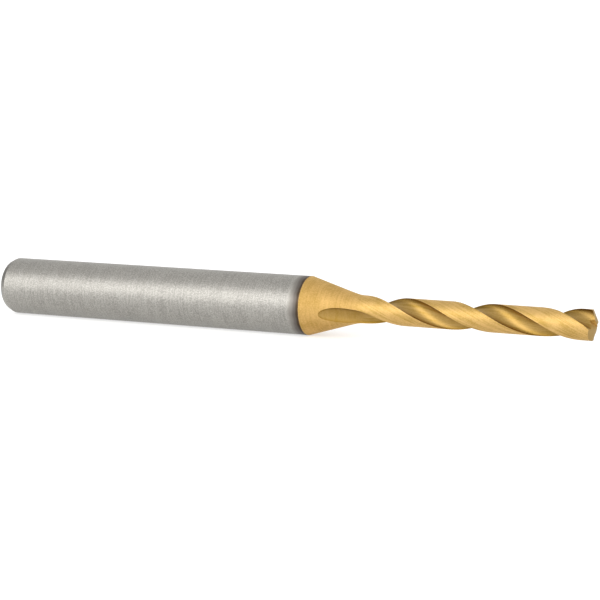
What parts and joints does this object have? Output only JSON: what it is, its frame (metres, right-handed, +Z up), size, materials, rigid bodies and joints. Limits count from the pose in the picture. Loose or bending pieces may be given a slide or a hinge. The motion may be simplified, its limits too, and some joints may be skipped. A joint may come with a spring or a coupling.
{
  "type": "two-flute end mill",
  "caption": "Slim coated carbide end mill: round steel shank, tapered neck, helical flutes and a drill-type point, brazed together.",
  "frame": {"origin": "centre of the shank's flat back face", "axes": "+X along the tool's axis from the shank to the point, +Z up across the tool"},
  "size_m": [0.066, 0.006, 0.006],
  "materials": {
    "ground_steel": "centreless-ground tool steel, satin",
    "coated_carbide": "ground tungsten carbide under a gold titanium-nitride coating",
    "silver_solder": "silver solder, dark and heat-tinted at its rim"
  },
  "bodies": {
    "root": {"shank": "ground_steel", "cutter": "coated_carbide", "braze_joint": "silver_solder"}
  },
  "joints": []
}
